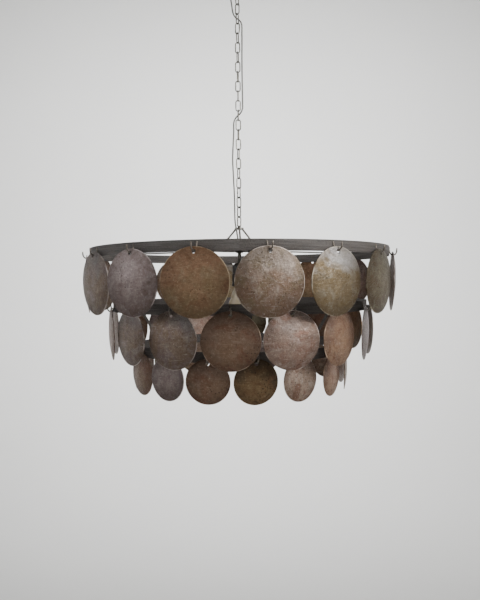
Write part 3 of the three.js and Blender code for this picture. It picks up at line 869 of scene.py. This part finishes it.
def band_piece(name, t):
    """A rolled flat band, a little uneven, with its own run of mill marks."""
    segments, wave_depth, face_out = 192, 0.0005, 0.0007
    seed = t["seed"]
    corners = [(0.0, 0.0), (band_thick, 0.0), (band_thick, band_height), (0.0, band_height)]
    outline = rounded(corners, 0.0007, 2, True)
    radius = t["radius"] + face_out - band_thick
    low = ring_top - t["drop"] - band_height
    verts, faces, run = [], [], []
    k = len(outline)
    for i in range(segments + 1):
        a = 2 * math.pi * i / segments
        wave = wave_depth * noise.noise(Vector((math.cos(a) * 3, math.sin(a) * 3, seed)))
        for u, v in outline:
            verts.append(polar(math.degrees(a), radius + u + wave, low + v))
            run.append((i / segments * 2 * math.pi * radius * TEXTURE + seed * 3, v * TEXTURE))
        if i < segments:
            for j in range(k):
                m = (j + 1) % k
                faces.append([i * k + j, (i + 1) * k + j, (i + 1) * k + m, i * k + m])
    return new_object(name, verts, faces, band_iron, 40, {"run": run})


def hook_points(azimuth, t, hook_turn, rng):
    """The bent wire of one hook, as the eye sees it: root, bow, seat and open tip."""
    along, across = math.cos(math.radians(hook_turn)), math.sin(math.radians(hook_turn))
    top = ring_top - t["drop"]
    root = -(seat_out + band_thick / 2) / along
    root_up, tip_up = seat_down - root_down, seat_down - tip_down + rng.uniform(-0.0006, 0.0012)
    outs = [(root, root_up), (root * 0.86, root_up + 0.0002), (-hook_bend * 1.02, root_up - 0.0018),
            (-hook_bend * 0.93, root_up * 0.55), (-hook_bend * 0.7, hook_bend * 0.333),
            (-hook_bend * 0.38, hook_bend * 0.06), (0, 0), (hook_bend * 0.38, hook_bend * 0.06),
            (hook_bend * 0.7, hook_bend * 0.333), (hook_bend * 0.92, hook_bend * 0.8), (hook_bend, tip_up)]
    side = Vector((math.cos(math.radians(azimuth)), math.sin(math.radians(azimuth)), 0))
    points = []
    for out, up in outs:
        middle = polar(azimuth, t["radius"] + seat_out + out * along, top - seat_down + up)
        points.append(middle + side * out * across)
    return smooth_route(points, 3)


# Discs: the hole lies under the seat, with a burr round it and clear of the sheet's other points

hole_down, hole_radius, burr_radius, clear_radius = 0.0040, 0.0045, 0.0056, 0.0070
burr_rise, burr_width = 0.0003, 0.0015
sheet_half, seat_in = 0.001, 0.0065
rim_count, hole_count = 64, 20

# Rings of points inside a disc: each one's share of the radius and its number of points
inner_rings = [(0.975, 56), (0.93, 52), (0.86, 44), (0.77, 40), (0.66, 34), (0.54, 28), (0.41, 22),
               (0.28, 15), (0.14, 8)]

families = {
    "upper": ["ochre", "grey", "silver", "olive", "slate", "beige", "rosy", "ochre",
              "brown", "silver", "grey", "olive", "beige", "brown", "slate", "mauve"],
    "middle": ["brown", "rosy", "copper", "mauve", "grey", "ochre", "brown", "silver",
               "olive", "rosy", "mauve", "beige", "brown", "rosy", "slate", "slate"],
    "lower": ["brown", "umber", "cream", "copper", "ochre", "rosy", "grey", "brown",
              "mauve", "olive", "beige", "silver", "rosy", "copper", "brown", "mauve"],
}


def disc_plan(rim_at, hole):
    """A disc with its hole, flat, as points and triangles."""
    points = []
    for k in range(rim_count):
        a = 2 * math.pi * k / rim_count
        points.append(Vector((rim_at(a) * math.cos(a), rim_at(a) * math.sin(a))))
    for ring in (hole_radius, burr_radius):
        for k in range(hole_count):
            a = 2 * math.pi * k / hole_count
            points.append(hole + Vector((math.cos(a), math.sin(a))) * ring)
    for share, number in inner_rings:
        for k in range(number):
            a = 2 * math.pi * (k + 0.5 * (number % 4)) / number
            p = Vector((math.cos(a), math.sin(a))) * rim_at(a) * share
            if (p - hole).length > clear_radius:
                points.append(p)
    points.append(Vector((0, 0)))
    edges = [(k, (k + 1) % rim_count) for k in range(rim_count)]
    edges += [(rim_count + k, rim_count + (k + 1) % hole_count) for k in range(hole_count)]
    flat, _, triangles, *_ = delaunay_2d_cdt(points, edges, [], 0, 1e-7)
    kept = []
    for tri in triangles:
        c = (flat[tri[0]] + flat[tri[1]] + flat[tri[2]]) / 3
        in_hole = (c - hole).length < hole_radius * 0.97
        past_rim = c.length > rim_at(math.atan2(c.y, c.x)) * 0.9999 and all(v < rim_count for v in tri)
        if not in_hole and not past_rim:
            kept.append(list(tri))
    return flat, kept


def sheet_faces(triangles, total):
    """Front, back and edges of a sheet whose back repeats its front's points, total places later."""
    faces = [tri[:] for tri in triangles]
    faces += [[total + a, total + c, total + b] for a, b, c in triangles]
    used = dict.fromkeys(pair for a, b, c in triangles for pair in ((a, b), (b, c), (c, a)))
    faces += [[b, a, total + a, total + b] for a, b in used if (b, a) not in used]
    return faces


def disc_piece(name, tier, i, rng):
    """A dished disc of cut sheet: a slightly uneven rim, soft hammer marks, a drilled hole with a burr."""
    rim_wave, rim_gain = 0.0032, 1.4
    dent_depth, dent_scale = 0.0005, 38
    t = tiers[tier]
    radius = t["across"] / 2
    seat = radius - seat_in
    hole = Vector((0, seat - hole_down))
    phases = [rng.uniform(0, 6.28) for _ in range(4)]
    sizes = [rng.uniform(0.2, 1.0) for _ in range(4)]
    seed = rng.uniform(0, 100)

    def rim_at(a):
        wobble = sum(rim_wave * s * math.sin((k + 2) * a + p) / (k + 2)
                     for k, (s, p) in enumerate(zip(sizes, phases)))
        return radius * (1 + wobble * rim_gain)

    flat, triangles = disc_plan(rim_at, hole)
    verts, patina, face = [], [], []
    shift = (7.3 * i + t["patina"], 5.1 * i)
    for side in (1, -1):
        for p in flat:
            share = min(p.length / radius, 1.0)
            dish = t["dish"] * (1 - share * share)
            spot = Vector((p.x * dent_scale + seed, p.y * dent_scale, 0))
            dent = dent_depth * noise.noise(spot) * (1 - share ** 6)
            past_hole = max((p - hole).length - hole_radius, 0)
            lift = burr_rise * max(0.0, 1 - past_hole / burr_width) if side > 0 else 0
            verts.append(Vector((p.x, p.y, dish + dent + side * sheet_half + lift)))
            patina.append((p.x * TEXTURE + shift[0], p.y * TEXTURE + shift[1]))
            face.append((0.5 + p.x / t["across"], 0.5 + p.y / t["across"]))
    faces = sheet_faces(triangles, len(flat))
    placed = sorted(set(v for f in faces for v in f))
    order = {v: k for k, v in enumerate(placed)}
    verts, patina, face = ([values[v] for v in placed] for values in (verts, patina, face))
    faces = [[order[v] for v in f] for f in faces]

    bulge_at_seat = t["dish"] * (1 - (seat / radius) ** 2)
    lean = math.atan2(t["dish"] / 2 - bulge_at_seat, seat)
    azimuth = t["first"] + i * hook_step
    hang_z = ring_top - t["drop"] - seat_down + hook_wire / 2 + touch
    hang = polar(azimuth, t["radius"] + seat_out, hang_z)
    place = (Matrix.Translation(hang) @ Matrix.Rotation(math.radians(azimuth + t["turns"][i]), 4, "Z")
             @ Matrix.Rotation(math.pi / 2 + lean, 4, "X") @ Matrix.Translation((0, -seat, -bulge_at_seat)))
    verts = [place @ v for v in verts]
    material = disc_families[families[tier][i]]
    obj = new_object(name, verts, faces, material, 50, {"patina": patina, "face": face})
    bevel = obj.modifiers.new("edge", "BEVEL")
    bevel.width = 0.0004
    bevel.segments = 2
    bevel.limit_method = "ANGLE"
    bevel.angle_limit = math.radians(50)
    return obj


for tier, t in tiers.items():
    seed = t["seed"]
    band = band_piece(f"{tier}_band", t)
    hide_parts(f"{tier}_ring")
    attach(band, "lamp")
    rng = random.Random(int(seed * 10))
    shape = Shape()
    for i in range(hooks_per_ring):
        azimuth = t["first"] + i * hook_step
        points = hook_points(azimuth, t, hook_turns[tier][i], rng)
        radii = [hook_wire / 2] * (len(points) - 2) + [hook_wire / 2 * 0.93, hook_wire / 2 * 0.7]
        shape.put(*sweep(points, radii, 12))
        root = points[0].lerp(points[2], 0.75)
        face = polar(azimuth, t["radius"] + 0.0008, root.z)
        weld_bead(shape, face.lerp(root, 0.9), (0.0030, 0.0030, 0.0032), i * 1.7 + seed)
    hooks = shape.make(f"{tier}_hooks", hook_iron)
    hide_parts(f"{tier}_ring")
    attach(hooks, "lamp")
    for i in range(hooks_per_ring):
        name = f"{tier}_disc_{i + 1:02d}"
        plate = disc_piece(f"{tier}_plate_{i + 1:02d}", tier, i, rng)
        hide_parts(name)
        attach(plate, name)

# Room: a pale floor a ceiling's height below, that rises in one curve all round, and soft light
floor_material = pale_floor("floor")
floor_low, floor_flat, floor_bend, wall_top = -2.6, 2.6, 3.0, 5.0
profile = [(0, floor_low), (floor_flat, floor_low)]
for angle in range(5, 91, 5):
    a = math.radians(angle)
    profile.append((floor_flat + floor_bend * math.sin(a), floor_low + floor_bend * (1 - math.cos(a))))
profile.append((floor_flat + floor_bend, wall_top))
floor = new_object("floor", *lathe(profile, 96), floor_material, 180)

world = bpy.data.worlds.new("room")
world.use_nodes = True
background = world.node_tree.nodes["Background"]
background.inputs["Color"].default_value = (0.80, 0.80, 0.80, 1)
background.inputs["Strength"].default_value = 0.40
bpy.context.scene.world = world


def area_light(name, place, aim, size, power, colour, spread=180):
    data = bpy.data.lights.new(name, "AREA")
    data.shape = "DISK"
    data.size = size
    data.energy = power
    data.color = colour
    data.spread = math.radians(spread)
    light = bpy.data.objects.new(name, data)
    light.location = place
    light.rotation_euler = (Vector(aim) - Vector(place)).to_track_quat("-Z", "Y").to_euler()
    bpy.context.scene.collection.objects.link(light)


middle = (0, 0, -0.90)
area_light("key", (1.70, -1.45, -0.10), middle, 0.9, 45, (1.0, 0.98, 0.95))
area_light("side", (-2.10, -0.70, -0.35), middle, 0.9, 8, (0.96, 0.97, 1.0))
area_light("front", (-0.4, -2.3, 1.0), middle, 1.2, 2, (1.0, 0.98, 0.95))
area_light("back", (0.6, 2.6, 0.5), middle, 1.2, 8, (1.0, 1.0, 1.0))
area_light("backdrop", (0, 0.9, 2.0), (0, 5.6, -0.7), 2.0, 190, (1.0, 1.0, 1.0), 110)
area_light("backdrop_front", (0, -1.0, 2.0), (0, -5.6, -0.7), 2.0, 16, (1.0, 1.0, 1.0), 110)
